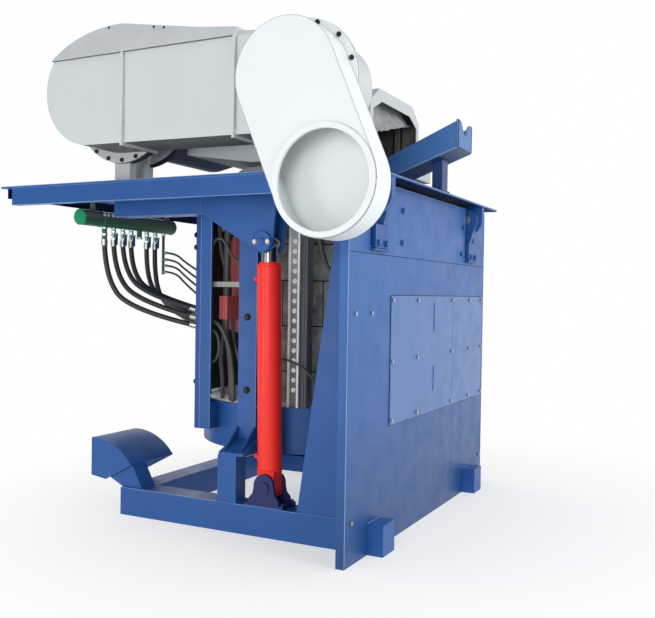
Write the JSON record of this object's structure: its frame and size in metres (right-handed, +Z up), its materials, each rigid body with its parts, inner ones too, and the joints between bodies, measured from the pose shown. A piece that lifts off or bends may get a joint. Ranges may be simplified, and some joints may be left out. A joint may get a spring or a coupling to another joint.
{
  "type": "melting furnace",
  "caption": "Hydraulic tilting induction melting furnace: steel stand with rams, tilting deck with crucible body and spout, water hoses, and a flip-up fume hood with ducts.",
  "frame": {"origin": "on the floor, under the tilt axis, in the middle plane between the two trunnion pins", "axes": "+X towards the pouring side, along the spout; +Y from the duct side to the far side, along the tilt axis; +Z up"},
  "size_m": [2.55, 2.527, 2.7219],
  "materials": {
    "frame_blue": "semi-gloss enamel",
    "panel_blue": "semi-gloss enamel",
    "duct_grey": "semi-gloss enamel",
    "steel": "zinc plated",
    "ram_red": "gloss enamel",
    "rod_chrome": "hard chrome",
    "refractory": "rammed, matt",
    "coil_cement": "trowelled, matt",
    "coil_copper": "drawn copper tube",
    "yoke_red": "insulating varnish",
    "manifold_green": "gloss enamel",
    "valve_steel": "nickel plated",
    "hose_rubber": "matt",
    "lever_blue": "dipped grip"
  },
  "bodies": {
    "stand": {"base_beams": "frame_blue", "cross_beams": "frame_blue", "rest_posts": "frame_blue", "cable_saddle": "frame_blue", "clevis_bases": "frame_blue", "clevis_pins": "frame_blue", "stand_columns": "frame_blue", "bearing_blocks": "frame_blue", "panel_lower": "panel_blue", "panel_upper": "panel_blue", "access_cover": "panel_blue", "side_cover": "panel_blue", "panel_bolts": "steel"},
    "tilting_frame": {"deck_plate": "frame_blue", "deck_channels": "frame_blue", "tilt_brackets": "frame_blue", "pin_caps": "frame_blue", "trunnion_lugs": "frame_blue", "trunnion_pins": "steel", "furnace_drum": "frame_blue", "frame_posts": "frame_blue", "header_posts": "frame_blue", "refractory_base": "refractory", "refractory_top": "refractory", "coil_jacket": "coil_cement", "induction_coil": "coil_copper", "crucible_lining": "refractory", "magnetic_yokes": "yoke_red", "coil_columns": "steel", "mouth_collar": "duct_grey", "spout": "frame_blue", "spout_lining": "refractory", "manifold": "manifold_green", "valve_bodies": "valve_steel", "hose_1": "hose_rubber", "hose_2": "hose_rubber", "hose_3": "hose_rubber", "hose_4": "hose_rubber", "hose_6": "hose_rubber", "hose_7": "hose_rubber", "thin_hoses": "hose_rubber", "duct_stand": "duct_grey", "swing_duct": "duct_grey", "duct_bolts": "steel"},
    "barrel_front": {"cylinder_front": "ram_red", "gland_front": "ram_red"},
    "barrel_rear": {"cylinder_rear": "ram_red", "gland_rear": "ram_red"},
    "rod_front": {"ram_front": "rod_chrome"},
    "rod_rear": {"ram_rear": "rod_chrome"},
    "outlet_arm": {"outlet_duct": "duct_grey", "outlet_face": "duct_grey", "joint_bolts": "steel"},
    "hood": {"hood_shell": "duct_grey", "hood_base": "duct_grey"},
    "lever_1": {"valve_lever_1": "lever_blue"},
    "lever_2": {"valve_lever_2": "lever_blue"},
    "lever_3": {"valve_lever_3": "lever_blue"},
    "lever_4": {"valve_lever_4": "lever_blue"},
    "lever_5": {"valve_lever_5": "lever_blue"}
  },
  "joints": [
    {"name": "tilt", "type": "hinge", "parent": "stand", "child": "tilting_frame", "pos_m": [0, 0, 1.82], "axis": [0, 1, 0], "range_deg": [0, 95]},
    {"name": "barrel_front_swing", "type": "hinge", "parent": "stand", "child": "barrel_front", "pos_m": [-0.605, -0.785, 0.265], "axis": [0, 1, 0], "range_deg": [0, 12.2]},
    {"name": "rod_front_stroke", "type": "slide", "parent": "barrel_front", "child": "rod_front", "axis": [-0.0189, 0, 0.9998], "range_m": [0, 0.922]},
    {"name": "barrel_rear_swing", "type": "hinge", "parent": "stand", "child": "barrel_rear", "pos_m": [-0.605, 0.785, 0.265], "axis": [0, 1, 0], "range_deg": [0, 12.2]},
    {"name": "rod_rear_stroke", "type": "slide", "parent": "barrel_rear", "child": "rod_rear", "axis": [-0.0189, 0, 0.9998], "range_m": [0, 0.922]},
    {"name": "hood_lift", "type": "hinge", "parent": "tilting_frame", "child": "hood", "pos_m": [-1.53, -0.7, 2.385], "axis": [0, 1, 0], "range_deg": [-75, 0]},
    {"name": "outlet_swivel", "type": "hinge", "parent": "tilting_frame", "child": "outlet_arm", "pos_m": [-0.208, -1.22, 2.315], "axis": [0, 1, 0], "range_deg": [-10, 10]},
    {"name": "valve_turn_1", "type": "hinge", "parent": "tilting_frame", "child": "lever_1", "pos_m": [-1.8735, -0.571, 1.668], "axis": [1, 0, 0], "range_deg": [0, 90]},
    {"name": "valve_turn_2", "type": "hinge", "parent": "tilting_frame", "child": "lever_2", "pos_m": [-1.8735, -0.484, 1.668], "axis": [1, 0, 0], "range_deg": [0, 90]},
    {"name": "valve_turn_3", "type": "hinge", "parent": "tilting_frame", "child": "lever_3", "pos_m": [-1.8735, -0.403, 1.668], "axis": [1, 0, 0], "range_deg": [0, 90]},
    {"name": "valve_turn_4", "type": "hinge", "parent": "tilting_frame", "child": "lever_4", "pos_m": [-1.8735, -0.243, 1.668], "axis": [1, 0, 0], "range_deg": [0, 90]},
    {"name": "valve_turn_5", "type": "hinge", "parent": "tilting_frame", "child": "lever_5", "pos_m": [-1.8735, -0.155, 1.668], "axis": [1, 0, 0], "range_deg": [0, 90]}
  ],
  "couplings": [
    {"joint": "barrel_front_swing", "follows": "tilt", "ratio": 0.12735},
    {"joint": "rod_front_stroke", "follows": "tilt", "m_per_rad": 0.55543},
    {"joint": "barrel_rear_swing", "follows": "tilt", "ratio": 0.12735},
    {"joint": "rod_rear_stroke", "follows": "tilt", "m_per_rad": 0.55543}
  ]
}
